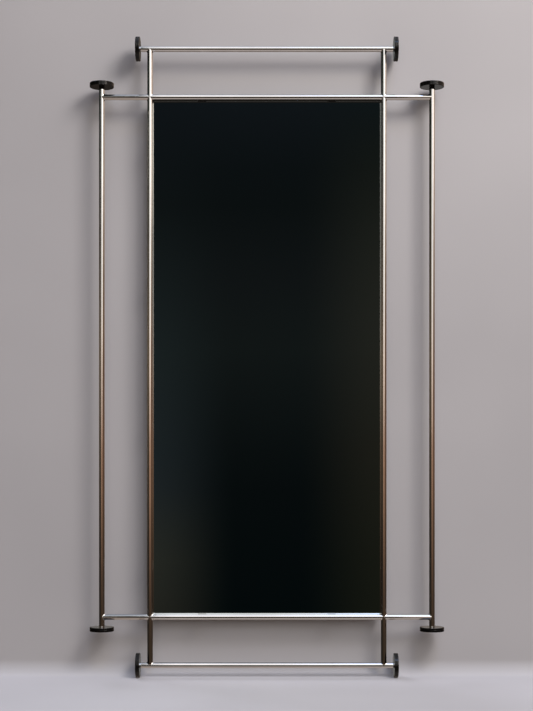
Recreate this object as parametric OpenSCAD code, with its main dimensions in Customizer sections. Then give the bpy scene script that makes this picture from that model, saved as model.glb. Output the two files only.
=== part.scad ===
// Rolling floor mirror
//
// A tall mirror behind a lattice of chromed steel tubes that all lie in one plane.
// Two uprights and two cross tubes frame the glass. Each runs on past the corners to an
// outer rail, and each of the four rails carries a black wheel on both ends, so that the
// mirror can lean upright or on its side and roll along the floor and the wall.
//
// X is the width, Z is up, and the mirror faces -Y. The origin is on the floor under the
// centre of the frame, and Y = 0 is the plane of the tubes.

/* [Frame] */
// Distance between the two uprights, centre to centre
upright_pitch = 678; // [420:1:900]
// Distance between the two cross tubes, centre to centre
cross_pitch = 1508; // [900:1:1900]
// Distance from the inner frame to each outer rail, centre to centre
rail_offset = 140; // [90:1:200]
// Outer diameter of every frame tube
tube_d = 16; // [13:0.5:22]
// Wall of every frame tube
tube_wall = 1.5; // [1:0.1:2]
// Radius of the polished weld in the corners of each joint
fillet_r = 4; // [2:0.5:6]

/* [Wheels] */
// Diameter of a wheel over its tyre
wheel_d = 70; // [66:1:90]
// Width of a wheel
wheel_w = 12; // [12:0.5:18]
// Distance from the last tube joint to the middle of the wheel
wheel_reach = 35; // [28:1:60]
// Gap between the end of a rail and the wheel
wheel_gap = 0.8; // [0.5:0.1:2]
// Thickness of the tyre from its seat to its tread
tyre_t = 3.5; // [3:0.1:5]
// Height of the rib on the disc that keys the tyre
tyre_key_h = 1.2; // [0.5:0.1:1.5]
// Width of the rib on the disc that keys the tyre
tyre_key_w = 4; // [2:0.5:6]
// Radius of the tyre's two outer edges
tyre_edge_r = 1.2; // [0.5:0.1:1.5]
// Radius of the round groove in the middle of the tread
tread_groove_r = 0.9; // [0.5:0.1:1]
// Chamfer on the outer edges of the disc
disc_chamfer = 0.5; // [0.2:0.1:1]
// Thickness of the disc's web behind the bearing
web_t = 2; // [1.5:0.1:2]

/* [Bearing] */
// Bore of the bearing
bearing_bore = 8; // [7:0.1:8.5]
// Outside diameter of the bearing
bearing_od = 16; // [15.5:0.1:18]
// Width of the bearing
bearing_w = 5; // [4.4:0.1:5]
// Diameter of the balls
ball_d = 2.4; // [2:0.1:2.5]
// Number of balls in each bearing
ball_count = 8; // [6:1:9]
// Height of the shoulders on each side of the ball track
track_shoulder = 0.55; // [0.4:0.05:0.6]
// Thickness of the ball cage
cage_t = 0.7; // [0.5:0.1:0.8]
// Width of the ball cage
cage_w = 3.6; // [3.3:0.1:4]

/* [Axle] */
// Diameter of the screw's thread
thread_d = 6; // [4:0.5:6.5]
// Length of the screw's thread
thread_l = 14; // [8:1:16]
// Diameter of the screw's head
head_d = 12; // [10.5:0.1:12.5]
// Height of the screw's head
head_h = 3; // [2:0.1:3]
// Width across the flats of the socket in the head
socket_af = 4; // [3:0.5:5]
// Depth of the socket in the head
socket_depth = 1.8; // [1:0.1:2]
// Wall of the spacer between the rail and the bearing
spacer_wall = 1.5; // [1:0.1:1.6]
// Length of the threaded plug in the end of each rail
plug_l = 18; // [17:1:30]

/* [Hub cap] */
// Diameter of the cap over the screw
cap_d = 20; // [19:0.5:26]
// Thickness of the cap
cap_t = 1.5; // [1:0.1:1.5]
// Length of the cap's skirt
skirt_l = 2; // [1:0.1:2.5]
// Wall of the cap's skirt
skirt_wall = 1; // [0.8:0.1:1.2]

/* [Mirror] */
// Thickness of the glass
glass_t = 5; // [4:0.5:8]
// Distance of the glass's edge inside the centre line of the tubes
glass_inset = 1; // [0.5:0.5:3]
// Width of the polished chamfer round the glass
glass_arris = 1; // [0.5:0.1:2]
// Gap between the backs of the tubes and the glass
buffer_t = 6; // [3:0.5:10]
// Thickness of the foam tape behind the glass
tape_t = 1; // [0.5:0.1:2]
// Width of each strip of foam tape
tape_w = 25; // [12:1:40]
// Number of strips of foam tape
tape_count = 5; // [3:1:7]
// Thickness of the backing board
board_t = 6; // [4:0.5:12]
// Distance of the board's edge inside the glass's edge
board_inset = 2; // [0.5:0.5:4]

/* [Brackets] */
// Thickness of the steel brackets behind the board
bracket_t = 2.5; // [2.5:0.1:3.5]
// Width of a bracket along its tube
bracket_w = 24; // [16:1:40]
// Length of a bracket behind the board, from the tube's centre line
bracket_l = 26; // [22:1:50]
// Inner radius of the bend in a bracket
bend_r = 1; // [0.5:0.1:1.5]
// Number of brackets on each upright
upright_brackets = 4; // [2:1:6]
// Number of brackets on each cross tube
cross_brackets = 2; // [2:1:3]
// Distance from the frame's corners to the nearest bracket
bracket_inset = 150; // [80:1:180]
// Diameter of the screws that hold the board
screw_d = 4; // [3:0.5:5]
// Thickness of board left in front of a screw's tip
screw_cover = 0.8; // [0.6:0.1:2]
// Diameter of a screw's countersunk head
screw_head_d = 8; // [7:0.5:10]
// Height of a screw's countersunk head
screw_head_h = 2.2; // [1.5:0.1:2.2]
// Width across the flats of the socket in a screw's head
screw_socket_af = 2.5; // [2:0.5:3]
// Depth of the socket in a screw's head
screw_socket_depth = 1.3; // [0.8:0.1:1.5]

/* [Hidden] */

// Clearances
joint_gap = 0.05;      // root gap of a coped tube, and of what is brazed or bonded
press_gap = 0.02;      // what is pushed in and stays there
ball_gap = 0.05;       // a ball in its track
pocket_gap = 0.06;     // a ball in its cage
running_gap = 0.4;     // a turning wheel past a fixed spacer
screw_gap = 0.25;      // a screw through a plain hole
pilot_gap = 0.4;       // the bottom of a pilot hole past the tip of its screw
cut = 1;               // how far a cutting solid runs past what it cuts

// Roundness
$fn = 64;
ball_fn = 24;
fillet_step = 12;      // turn of the fillet's path between two rings, in degrees
fillet_end = 78;       // where the fillet has run out to nothing, in degrees
fillet_arc = 4;        // faces across the fillet

// The frame
tube_r = tube_d / 2;
bore_r = tube_r - tube_wall;
wheel_r = wheel_d / 2;
upright_x = upright_pitch / 2;
side_x = upright_x + rail_offset;
z_bottom = wheel_r;
z_low = z_bottom + rail_offset;
z_high = z_low + cross_pitch;
z_top = z_high + rail_offset;
z_mid = (z_low + z_high) / 2;
rail_past = wheel_reach - wheel_w / 2 - wheel_gap;

// The wheel, from the end of its rail outwards
disc_z = wheel_gap;
face_z = wheel_gap + wheel_w;
seat_r = wheel_r - tyre_t;
bearing_z = disc_z + web_t;
bearing_mid = bearing_z + bearing_w / 2;
head_z = bearing_z + bearing_w;
cap_z = face_z - cap_t;
bearing_r = bearing_od / 2;
bearing_bore_r = bearing_bore / 2;
pitch_r = (bearing_r + bearing_bore_r) / 2;
ball_r = ball_d / 2;
track_r = ball_r + ball_gap;
shoulder_gap = track_r - track_shoulder;
spacer_r = bearing_bore_r + spacer_wall;
thread_r = thread_d / 2;
head_chamfer = 0.4;
hex_r = socket_af / 2 / cos(30);
screw_hex_r = screw_socket_af / 2 / cos(30);
cap_chamfer = 0.3;

// The mirror, from the tubes backwards
glass_y = tube_r + buffer_t;
tape_y = glass_y + glass_t;
board_y = tape_y + tape_t;
bracket_y = board_y + board_t;
screw_y = bracket_y + bracket_t;
glass_w = upright_pitch - 2 * glass_inset;
glass_h = cross_pitch - 2 * glass_inset;
board_w = glass_w - 2 * board_inset;
board_h = glass_h - 2 * board_inset;
tape_margin = 20;
tape_pitch = (board_w - 2 * tape_margin - tape_w) / (tape_count - 1);
buffer_side = 7;       // reach of a buffer from the tube's centre line
buffer_lap = 4;        // how far a buffer's block reaches into the tube it is cut to
web_x = 0.5;           // inner face of a bracket's web, outside the tube's centre line
screw_x = (bracket_l + bend_r + bracket_t) / 2;
screw_sink = 0.2;      // top of a screw's head, below the back of its bracket
screw_bite = board_t - screw_cover;
screw_l = screw_bite + bracket_t - screw_sink;

// Wheel stations: name, end of the rail, and the turn that points +Z outwards
STATIONS = [
    ["top_left", [-upright_x - rail_past, 0, z_top], [0, -90, 0]],
    ["top_right", [upright_x + rail_past, 0, z_top], [0, 90, 0]],
    ["bottom_left", [-upright_x - rail_past, 0, z_bottom], [0, -90, 0]],
    ["bottom_right", [upright_x + rail_past, 0, z_bottom], [0, 90, 0]],
    ["left_upper", [-side_x, 0, z_high + rail_past], [0, 0, 0]],
    ["left_lower", [-side_x, 0, z_low - rail_past], [180, 0, 0]],
    ["right_upper", [side_x, 0, z_high + rail_past], [0, 0, 0]],
    ["right_lower", [side_x, 0, z_low - rail_past], [180, 0, 0]]
];

// Bracket places: a point on a tube's centre line, and the turn that points +X inwards
function spread(count, half) = [for (i = [0:count - 1]) -half + 2 * half * i / (count - 1)];
bracket_zs = spread(upright_brackets, cross_pitch / 2 - bracket_inset);
bracket_xs = spread(cross_brackets, upright_x - bracket_inset);
BRACKETS = concat(
    [for (z = bracket_zs) [[-upright_x, 0, z_mid + z], 0]],
    [for (z = bracket_zs) [[upright_x, 0, z_mid + z], 180]],
    [for (x = bracket_xs) [[x, 0, z_low], -90]],
    [for (x = bracket_xs) [[x, 0, z_high], 90]]
);

// ---------------------------------------------------------------- tubes

// A round bar along X, centred
module bar_x(r, l) {
    rotate([0, 90, 0])
        cylinder(r = r, h = l, center = true);
}

// A tube along Z, centred
module tube_z(l) {
    difference() {
        cylinder(r = tube_r, h = l, center = true);
        cylinder(r = bore_r, h = l + 2 * cut, center = true);
    }
}

// A tube along X, centred
module tube_x(l) {
    rotate([0, 90, 0])
        tube_z(l);
}

// The round of a neighbour that a tube's end is coped to
cope_r = tube_r + joint_gap;
cope_l = 3 * tube_d;

// An upright, from the bottom rail to the top rail, coped to both
module upright(side) {
    color("silver")
        difference() {
            translate([side * upright_x, 0, (z_bottom + z_top) / 2])
                tube_z(z_top - z_bottom);
            for (z = [z_bottom, z_top])
                translate([side * upright_x, 0, z])
                    bar_x(cope_r, cope_l);
        }
}

// A cross tube, between the two uprights
module cross_tube(z) {
    color("silver")
        difference() {
            translate([0, 0, z])
                tube_x(upright_pitch);
            for (side = [-1, 1])
                translate([side * upright_x, 0, z])
                    cylinder(r = cope_r, h = cope_l, center = true);
        }
}

// A stub that carries a cross tube's line on from an upright to a side rail
module stub(side, z) {
    color("silver")
        difference() {
            translate([side * (upright_x + side_x) / 2, 0, z])
                tube_x(rail_offset);
            for (x = [upright_x, side_x])
                translate([side * x, 0, z])
                    cylinder(r = cope_r, h = cope_l, center = true);
        }
}

// The top or the bottom rail
module level_rail(z) {
    color("silver")
        translate([0, 0, z])
            tube_x(upright_pitch + 2 * rail_past);
}

// A side rail
module side_rail(side) {
    color("silver")
        translate([side * side_x, 0, z_mid])
            tube_z(cross_pitch + 2 * rail_past);
}

// ---------------------------------------------------------------- weld fillets

// A ball of radius fillet_r that rolls in the corner of two crossing tubes touches both.
// Its centre runs along an ellipse, and the metal left under it is the polished weld.
fillet_seat = tube_r / cos(fillet_step / 2);
fillet_path = fillet_seat + fillet_r;
fillet_turns = [-fillet_end:fillet_step:fillet_end];

// Points across the fillet where the path has turned through a degrees: the arc first,
// then the root between the two tubes
function fillet_ring(a) =
    let (
        centre = fillet_path * [cos(a), sin(a), cos(a)],
        to_level = [0, -sin(a), -cos(a)],
        to_upright = [-cos(a), -sin(a), 0],
        open = acos(pow(sin(a), 2)),
        arc = [for (k = [0:fillet_arc])
            centre + fillet_r * (sin(open - open * k / fillet_arc) * to_level
                + sin(open * k / fillet_arc) * to_upright) / sin(open)]
    )
    concat(arc, [fillet_seat * [cos(a), sin(a), cos(a)]]);

// The fillet in the corner between +X and +Z
module corner_fillet() {
    rings = [for (a = fillet_turns) fillet_ring(a)];
    across = fillet_arc + 2;
    last = (len(rings) - 1) * across;
    points = [for (ring = rings) each ring];
    sides = [for (i = [0:len(rings) - 2], k = [0:across - 1])
        let (p = i * across, q = (k + 1) % across)
        each [[p + k, p + q, p + across + q], [p + k, p + across + q, p + across + k]]];
    ends = [for (k = [0:fillet_arc - 1])
        each [[across - 1, k + 1, k], [last + across - 1, last + k, last + k + 1]]];
    polyhedron(points = points, faces = concat(sides, ends));
}

// Fillets on the chosen sides of a joint
module joint_fillets(xs, zs) {
    for (sx = xs, sz = zs)
        mirror([sx < 0 ? 1 : 0, 0, 0])
            mirror([0, 0, sz < 0 ? 1 : 0])
                corner_fillet();
}

// All the polished welds: four at each crossing, two at each end of a tube
module weld_fillets() {
    color("silver")
        for (side = [-1, 1]) {
            for (z = [z_low, z_high]) {
                translate([side * upright_x, 0, z])
                    joint_fillets([-1, 1], [-1, 1]);
                translate([side * side_x, 0, z])
                    joint_fillets([-side], [-1, 1]);
            }
            translate([side * upright_x, 0, z_top])
                joint_fillets([-1, 1], [-1]);
            translate([side * upright_x, 0, z_bottom])
                joint_fillets([-1, 1], [1]);
        }
}

// ---------------------------------------------------------------- wheels

// Puts its children at a wheel station, with +Z pointing out of the rail
module at_station(s) {
    translate(s[1])
        rotate(s[2])
            children();
}

// The tyre: a rounded band with a groove round the middle of its tread
module tyre() {
    mid = disc_z + wheel_w / 2;
    color("#141414")
        rotate_extrude()
            difference() {
                union() {
                    translate([seat_r + joint_gap, disc_z])
                        square([tyre_t - tyre_edge_r - joint_gap, wheel_w]);
                    translate([seat_r + joint_gap, disc_z + tyre_edge_r])
                        square([tyre_t - joint_gap, wheel_w - 2 * tyre_edge_r]);
                    for (z = [disc_z + tyre_edge_r, face_z - tyre_edge_r])
                        translate([wheel_r - tyre_edge_r, z])
                            circle(r = tyre_edge_r);
                }
                translate([wheel_r, mid])
                    circle(r = tread_groove_r);
                translate([seat_r - cut, mid - tyre_key_w / 2 - joint_gap])
                    square([tyre_key_h + joint_gap + cut, tyre_key_w + 2 * joint_gap]);
            }
}

// The disc: a flat inner face, a rib for the tyre, and a pocket for the bearing and cap
module wheel_disc() {
    hole_r = spacer_r + running_gap;
    mid = disc_z + wheel_w / 2;
    color("#1b1b1b")
        rotate_extrude()
            difference() {
                union() {
                    polygon([
                        [hole_r, disc_z],
                        [seat_r - disc_chamfer, disc_z],
                        [seat_r, disc_z + disc_chamfer],
                        [seat_r, face_z - disc_chamfer],
                        [seat_r - disc_chamfer, face_z],
                        [hole_r, face_z]
                    ]);
                    translate([seat_r - cut, mid - tyre_key_w / 2])
                        square([tyre_key_h + cut, tyre_key_w]);
                }
                translate([0, bearing_z])
                    square([bearing_r + press_gap, wheel_w]);
                translate([0, cap_z])
                    square([cap_d / 2 + press_gap, wheel_w]);
            }
}

// One ring of a ball bearing, with the ball track cut into it
module bearing_ring(inner_r, outer_r) {
    rotate_extrude()
        difference() {
            translate([inner_r, bearing_z])
                square([outer_r - inner_r, bearing_w]);
            translate([pitch_r, bearing_mid])
                circle(r = track_r);
        }
}

// The ball places round a bearing
module at_balls() {
    for (i = [0:ball_count - 1])
        rotate(i * 360 / ball_count)
            translate([pitch_r, 0, bearing_mid])
                children();
}

// What turns with the wheel: the outer ring, the balls and their cage
module bearing() {
    color("#b8b8b8") {
        bearing_ring(pitch_r + shoulder_gap, bearing_r);
        at_balls()
            sphere(r = ball_r, $fn = ball_fn);
        difference() {
            rotate_extrude()
                translate([pitch_r - cage_t / 2, bearing_mid - cage_w / 2])
                    square([cage_t, cage_w]);
            at_balls()
                rotate([0, 90, 0])
                    cylinder(r = ball_r + pocket_gap, h = 2 * cage_t, center = true);
        }
    }
}

// The cap pressed into the outer face of the disc
module hub_cap() {
    cap_r = cap_d / 2;
    color("#202020")
        rotate_extrude() {
            polygon([
                [0, cap_z],
                [cap_r, cap_z],
                [cap_r, face_z - cap_chamfer],
                [cap_r - cap_chamfer, face_z],
                [0, face_z]
            ]);
            translate([bearing_r - skirt_wall, cap_z - skirt_l])
                square([skirt_wall, skirt_l + cap_t / 2]);
        }
}

// The plugs brazed into the ends of the rails, each threaded for a screw
module end_plugs() {
    color("gray")
        for (s = STATIONS)
            at_station(s)
                difference() {
                    translate([0, 0, -plug_l])
                        cylinder(r = bore_r - joint_gap, h = plug_l);
                    translate([0, 0, -plug_l - cut])
                        cylinder(r = thread_r + press_gap, h = plug_l + 2 * cut);
                }
}

// The screws that each wheel turns on: thread, plain shoulder and socket head
module axle_screws() {
    color("#909090")
        for (s = STATIONS)
            at_station(s)
                difference() {
                    rotate_extrude()
                        polygon([
                            [0, -thread_l],
                            [thread_r, -thread_l],
                            [thread_r, 0],
                            [bearing_bore_r - press_gap, 0],
                            [bearing_bore_r - press_gap, head_z],
                            [head_d / 2, head_z],
                            [head_d / 2, head_z + head_h - head_chamfer],
                            [head_d / 2 - head_chamfer, head_z + head_h],
                            [0, head_z + head_h]
                        ]);
                    translate([0, 0, head_z + head_h - socket_depth])
                        cylinder(r = hex_r, h = socket_depth + cut, $fn = 6);
                }
}

// The spacers that hold the wheels off the ends of the rails
module wheel_spacers() {
    color("#a0a0a0")
        for (s = STATIONS)
            at_station(s)
                difference() {
                    cylinder(r = spacer_r, h = bearing_z);
                    translate([0, 0, -cut])
                        cylinder(r = bearing_bore_r, h = bearing_z + 2 * cut);
                }
}

// The inner rings of the bearings, clamped between the spacers and the screws' heads
module bearing_inner_rings() {
    color("#b8b8b8")
        for (s = STATIONS)
            at_station(s)
                bearing_ring(bearing_bore_r, pitch_r - shoulder_gap);
}

// ---------------------------------------------------------------- mirror

// The glass, silvered on its back, with a polished chamfer round its front
module mirror_glass() {
    color("#20262a")
        translate([0, glass_y, z_mid])
            intersection() {
                linear_extrude(glass_h, center = true)
                    chamfered_sheet(glass_w);
                rotate([0, -90, 0])
                    linear_extrude(glass_w, center = true)
                        chamfered_sheet(glass_h);
            }
}

// The section of the glass: its front edge lies on Y = 0 and is chamfered
module chamfered_sheet(w) {
    polygon([
        [-w / 2 + glass_arris, 0],
        [w / 2 - glass_arris, 0],
        [w / 2, glass_arris],
        [w / 2, glass_t],
        [-w / 2, glass_t],
        [-w / 2, glass_arris]
    ]);
}

// The strips of foam tape that hold the glass to the board
module foam_tape() {
    color("#303030")
        for (i = [0:tape_count - 1])
            translate([
                -board_w / 2 + tape_margin + i * tape_pitch,
                tape_y,
                z_mid - board_h / 2 + tape_margin
            ])
                cube([tape_w, tape_t, board_h - 2 * tape_margin]);
}

// The board behind the glass, drilled for the brackets' screws
module backing_board() {
    color("#26221e")
        difference() {
            translate([-board_w / 2, board_y, z_mid - board_h / 2])
                cube([board_w, board_t, board_h]);
            at_brackets()
                translate([screw_x, board_y + board_t + cut, 0])
                    rotate([90, 0, 0])
                        cylinder(r = screw_d / 2 + press_gap, h = screw_bite + pilot_gap + cut);
        }
}

// Puts its children at every bracket: Z runs along the tube and X points inwards
module at_brackets() {
    for (b = BRACKETS)
        translate(b[0])
            rotate([0, b[1], 0])
                children();
}

// The rubber blocks between the backs of the tubes and the glass
module glazing_buffers() {
    color("#181818")
        at_brackets()
            difference() {
                translate([glass_inset, tube_r - buffer_lap, -bracket_w / 2])
                    cube([buffer_side - glass_inset, buffer_t + buffer_lap, bracket_w]);
                cylinder(r = cope_r, h = bracket_w + 2 * cut, center = true);
            }
}

// The steel brackets welded to the backs of the tubes and bent in behind the board
module fixing_brackets() {
    out_r = bend_r + bracket_t;
    color("#8c8c8c")
        at_brackets()
            difference() {
                linear_extrude(bracket_w, center = true)
                    difference() {
                        union() {
                            translate([-web_x - bracket_t, 0])
                                square([bracket_t, screw_y - out_r]);
                            translate([out_r - web_x - bracket_t, bracket_y])
                                square([bracket_l + web_x + bracket_t - out_r, bracket_t]);
                            translate([out_r - web_x - bracket_t, screw_y - out_r])
                                bend_section(out_r);
                        }
                        circle(r = cope_r);
                    }
                at_screw()
                    countersink();
            }
}

// Puts its children on the back of a bracket, over its screw, with +Z pointing backwards
module at_screw() {
    translate([screw_x, screw_y, 0])
        rotate([-90, 0, 0])
            children();
}

// What is cut out of a bracket for its screw
module countersink() {
    head_r = screw_head_d / 2;
    seat = screw_sink + joint_gap;
    translate([0, 0, -bracket_t - cut])
        cylinder(r = screw_d / 2 + screw_gap, h = bracket_t + 2 * cut);
    translate([0, 0, -seat - screw_head_h])
        cylinder(r1 = screw_d / 2, r2 = head_r, h = screw_head_h);
    translate([0, 0, -seat])
        cylinder(r = head_r + joint_gap, h = seat + cut);
}

// The quarter ring of a bracket's bend
module bend_section(out_r) {
    difference() {
        circle(r = out_r);
        circle(r = bend_r);
        translate([0, -out_r - cut])
            square(2 * (out_r + cut));
        translate([-out_r - cut, -2 * (out_r + cut)])
            square(2 * (out_r + cut));
    }
}

// The countersunk screws that hold the board to the brackets
module bracket_screws() {
    color("#707070")
        at_brackets()
            at_screw()
                difference() {
                    rotate_extrude()
                        polygon([
                            [0, -screw_sink - screw_l],
                            [screw_d / 2, -screw_sink - screw_l],
                            [screw_d / 2, -screw_sink - screw_head_h],
                            [screw_head_d / 2, -screw_sink],
                            [0, -screw_sink]
                        ]);
                    translate([0, 0, -screw_sink - screw_socket_depth])
                        cylinder(r = screw_hex_r, h = screw_socket_depth + cut, $fn = 6);
                }
}

// ---------------------------------------------------------------- the pieces

upright(-1);  // upright_left
upright(1);  // upright_right
cross_tube(z_high);  // cross_tube_top
cross_tube(z_low);  // cross_tube_bottom
stub(-1, z_high);  // stub_top_left
stub(1, z_high);  // stub_top_right
stub(-1, z_low);  // stub_bottom_left
stub(1, z_low);  // stub_bottom_right
level_rail(z_top);  // rail_top
level_rail(z_bottom);  // rail_bottom
side_rail(-1);  // rail_left
side_rail(1);  // rail_right
weld_fillets();
end_plugs();
axle_screws();
wheel_spacers();
bearing_inner_rings();
mirror_glass();
foam_tape();
backing_board();
glazing_buffers();
fixing_brackets();
bracket_screws();
for (s = STATIONS) {
    at_station(s) wheel_disc();
    at_station(s) tyre();
    at_station(s) bearing();
    at_station(s) hub_cap();
}
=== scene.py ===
# %% [markdown]
# # A rolling floor mirror in chromed tube
#
# The object is a tall mirror behind a lattice of polished steel tubes that all lie in one
# plane. Eight black wheels sit on the ends of the four outer rails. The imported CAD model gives
# every piece its exact place, so this lesson loads it first and measures everything from it.
# It then makes finer tubes and welds, gives every piece its finish, and builds a small studio.

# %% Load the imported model
import math

import bpy
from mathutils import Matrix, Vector


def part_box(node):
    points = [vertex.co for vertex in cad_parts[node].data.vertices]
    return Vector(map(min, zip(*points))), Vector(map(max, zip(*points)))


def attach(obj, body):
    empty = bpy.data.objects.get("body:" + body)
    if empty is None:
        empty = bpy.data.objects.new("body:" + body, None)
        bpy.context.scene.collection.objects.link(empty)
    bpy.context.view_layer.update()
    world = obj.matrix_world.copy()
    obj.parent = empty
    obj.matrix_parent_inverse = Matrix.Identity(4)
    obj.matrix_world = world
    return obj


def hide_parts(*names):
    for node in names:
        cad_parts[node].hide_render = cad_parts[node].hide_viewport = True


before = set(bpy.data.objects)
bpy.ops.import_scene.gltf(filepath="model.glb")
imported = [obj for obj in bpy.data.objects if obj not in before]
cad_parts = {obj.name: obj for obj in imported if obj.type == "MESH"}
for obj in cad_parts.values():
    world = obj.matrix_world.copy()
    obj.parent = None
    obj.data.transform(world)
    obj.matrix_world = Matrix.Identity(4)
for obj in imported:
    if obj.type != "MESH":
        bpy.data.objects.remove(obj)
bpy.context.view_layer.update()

MM = 0.001

# %% [markdown]
# ## Measures taken from the model
#
# The tubes are all one size, so one rail gives their diameter, and the boxes of the others give
# the centre lines. Only what a box can't show, such as a tube's wall, is written here in
# millimetres.

# %% Centre lines and diameters


def middle(node):
    """The centre of a CAD node's box."""
    low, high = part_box(node)
    return (low + high) / 2


def size(node):
    """The lengths of a CAD node's box."""
    low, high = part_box(node)
    return high - low


tube_r = size("rail_top").z / 2
upright_x = middle("upright_right").x
side_x = middle("rail_right").x
z_top = middle("rail_top").z
z_high = middle("cross_tube_top").z
z_low = middle("cross_tube_bottom").z
z_bottom = middle("rail_bottom").z
z_mid = (z_low + z_high) / 2
cross_pitch = z_high - z_low

TUBE_WALL = 1.5 * MM
WELD_RADIUS = 4 * MM
ROOT_GAP = 0.05 * MM

bore_r = tube_r - TUBE_WALL
cope_r = tube_r + ROOT_GAP
print("tube %.1f mm, uprights %.0f mm apart" % (2 * tube_r / MM, 2 * upright_x / MM))

# %% [markdown]
# ## One helper for every node
#
# Shader trees and geometry trees are built the same way: add a node, choose its settings, then
# type or link its inputs. This helper does the three together. Inputs are given in order, as a
# list, or by name, as a dictionary, and a node that is given as an input stands for its first
# output that is in use. The stops of a colour ramp are given as places with hex colours. The
# five kinds of node that are used most get short names.

# %% The colour function and the node helper
MATH = "ShaderNodeMath"
VECTOR_MATH = "ShaderNodeVectorMath"
MIX = "ShaderNodeMix"
MAP_RANGE = "ShaderNodeMapRange"
RAMP = "ShaderNodeValToRGB"


def shade(code):
    """Turns a hex colour into linear light, by the curve of the sRGB standard."""
    channels = [int(code[i:i + 2], 16) / 255 for i in (1, 3, 5)]
    bent = [c / 12.92 if c <= 0.04045 else ((c + 0.055) / 1.055) ** 2.4 for c in channels]
    return (*bent, 1.0)


def in_use(sockets):
    """The sockets that a node's present settings leave in use."""
    return [s for s in sockets if s.enabled]


def add(tree, kind, inputs=(), stops=(), **settings):
    """Adds a node with its settings, its ramp's stops, and its inputs typed or linked."""
    made = tree.nodes.new(kind)
    for name, value in settings.items():
        setattr(made, name, value)
    for number, (place, code) in enumerate(stops):
        elements = made.color_ramp.elements
        stop = elements[number] if number < len(elements) else elements.new(place)
        stop.position = place
        stop.color = shade(code)
    named = inputs.items() if isinstance(inputs, dict) else enumerate(inputs)
    for key, value in named:
        socket = made.inputs[key] if isinstance(key, str) else in_use(made.inputs)[key]
        if isinstance(value, bpy.types.Node):
            value = in_use(value.outputs)[0]
        if isinstance(value, bpy.types.NodeSocket):
            tree.links.new(value, socket)
        else:
            socket.default_value = value
    return made


def link_to(tree, target, sources):
    """Links each source to the input of that name on a node that is already there."""
    for name, source in sources.items():
        tree.links.new(in_use(source.outputs)[0], target.inputs[name])


print("mid grey is", round(shade("#808080")[0], 3), "in linear light")

# %% [markdown]
# ## Finishes
#
# The record gives every piece a slot, and each finish is filed here under the slot that it is
# for. It starts from the same three nodes: the piece's own coordinates, a surface shader and the
# output. Object coordinates are in metres, so a pattern's scale is one over its real size.
# Dust, polishing marks and mould grain are what keep a clean surface from looking drawn.
# Most finishes end alike: one pattern tints the surface between two colours, one dulls it
# between two roughnesses, and one raises it by a real height. The values of a noise lie almost
# all between 0.3 and 0.7, so that span is what is spread over the colours and roughnesses.

# %% Start and end of a finish
NOISE_SPAN = (0.3, 0.7)
finishes = {}


def start_finish(slot, name, **constants):
    """Files a new material under its slot. Fixed values are set on the shader itself."""
    finishes[slot] = finish = bpy.data.materials.new(name)
    finish.use_nodes = True
    tree = finish.node_tree
    tree.nodes.clear()
    shader = add(tree, "ShaderNodeBsdfPrincipled", {
        key.replace("_", " ").title().replace("Ior", "IOR"): value
        for key, value in constants.items()
    }, label=name)
    add(tree, "ShaderNodeOutputMaterial", {"Surface": shader})
    where = add(tree, "ShaderNodeTexCoord").outputs["Object"]
    return tree, shader, where


def grain(tree, where, spacing, detail=2.0, stretch=(1, 1, 1)):
    """A noise whose lumps are spacing wide, in metres, drawn out by stretch."""
    scaled = add(tree, "ShaderNodeMapping", {"Vector": where, "Scale": stretch})
    return add(tree, "ShaderNodeTexNoise", {
        "Vector": scaled, "Scale": 1 / spacing, "Detail": detail,
    })


def end_finish(tree, shader, tint, dull, relief, span=NOISE_SPAN):
    """Tints, dulls and raises a surface, each by a pattern and the values that go with it.

    The span is the part of the tinting pattern over which one colour turns into the other.
    """
    tinting, *colours = tint
    dulling, least, most = dull
    raising, height = relief
    tone = add(tree, RAMP, [tinting], stops=zip(span, colours))
    dulled = add(tree, MAP_RANGE, [dulling, *NOISE_SPAN, least, most])
    raised = add(tree, "ShaderNodeBump", {"Height": raising, "Distance": height})
    link_to(tree, shader, {"Base Color": tone, "Roughness": dulled, "Normal": raised})
    print(shader.label, "has", len(tree.nodes), "nodes")


# %% [markdown]
# ### Polished chrome
#
# The tubes are steel, polished on belts and then plated with bright nickel and chromium. The
# plating copies what lies under it: a faint waviness a few centimetres long, and polishing
# marks too fine to see one by one, which only soften the reflection a little. Chromium is a
# cool, slightly dark mirror next to silver.

# %% Polished chrome
tree, shader, where = start_finish("chrome", "polished_chrome_on_tube", metallic=1.0)
faint_clouds = grain(tree, where, 70 * MM)
wipe_marks = grain(tree, where, 22 * MM, detail=5.0)
waviness = grain(tree, where, 35 * MM, detail=1.0)
end_finish(tree, shader, tint=(faint_clouds, "#dadada", "#e4e4e3"),
           dull=(wipe_marks, 0.03, 0.07), relief=(waviness, 0.02 * MM))

# %% [markdown]
# ### Silvered glass
#
# The mirror is float glass, silvered and painted on its back, with its edge and a narrow
# chamfer polished. One slab shows three finishes, and which one depends only on how deep a
# point lies in the slab: its front face is the mirror, its back face is paint, and what lies
# between is green polished edge.

# %% Silvered glass
glass_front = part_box("mirror_glass")[0].y
glass_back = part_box("mirror_glass")[1].y
SKIN = 0.02 * MM
EDGE_ROUGHNESS = 0.06
PAINT_LEAST = 0.38
PAINT_VARIES = 0.3
FACE_VARIES = 0.015

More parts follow.
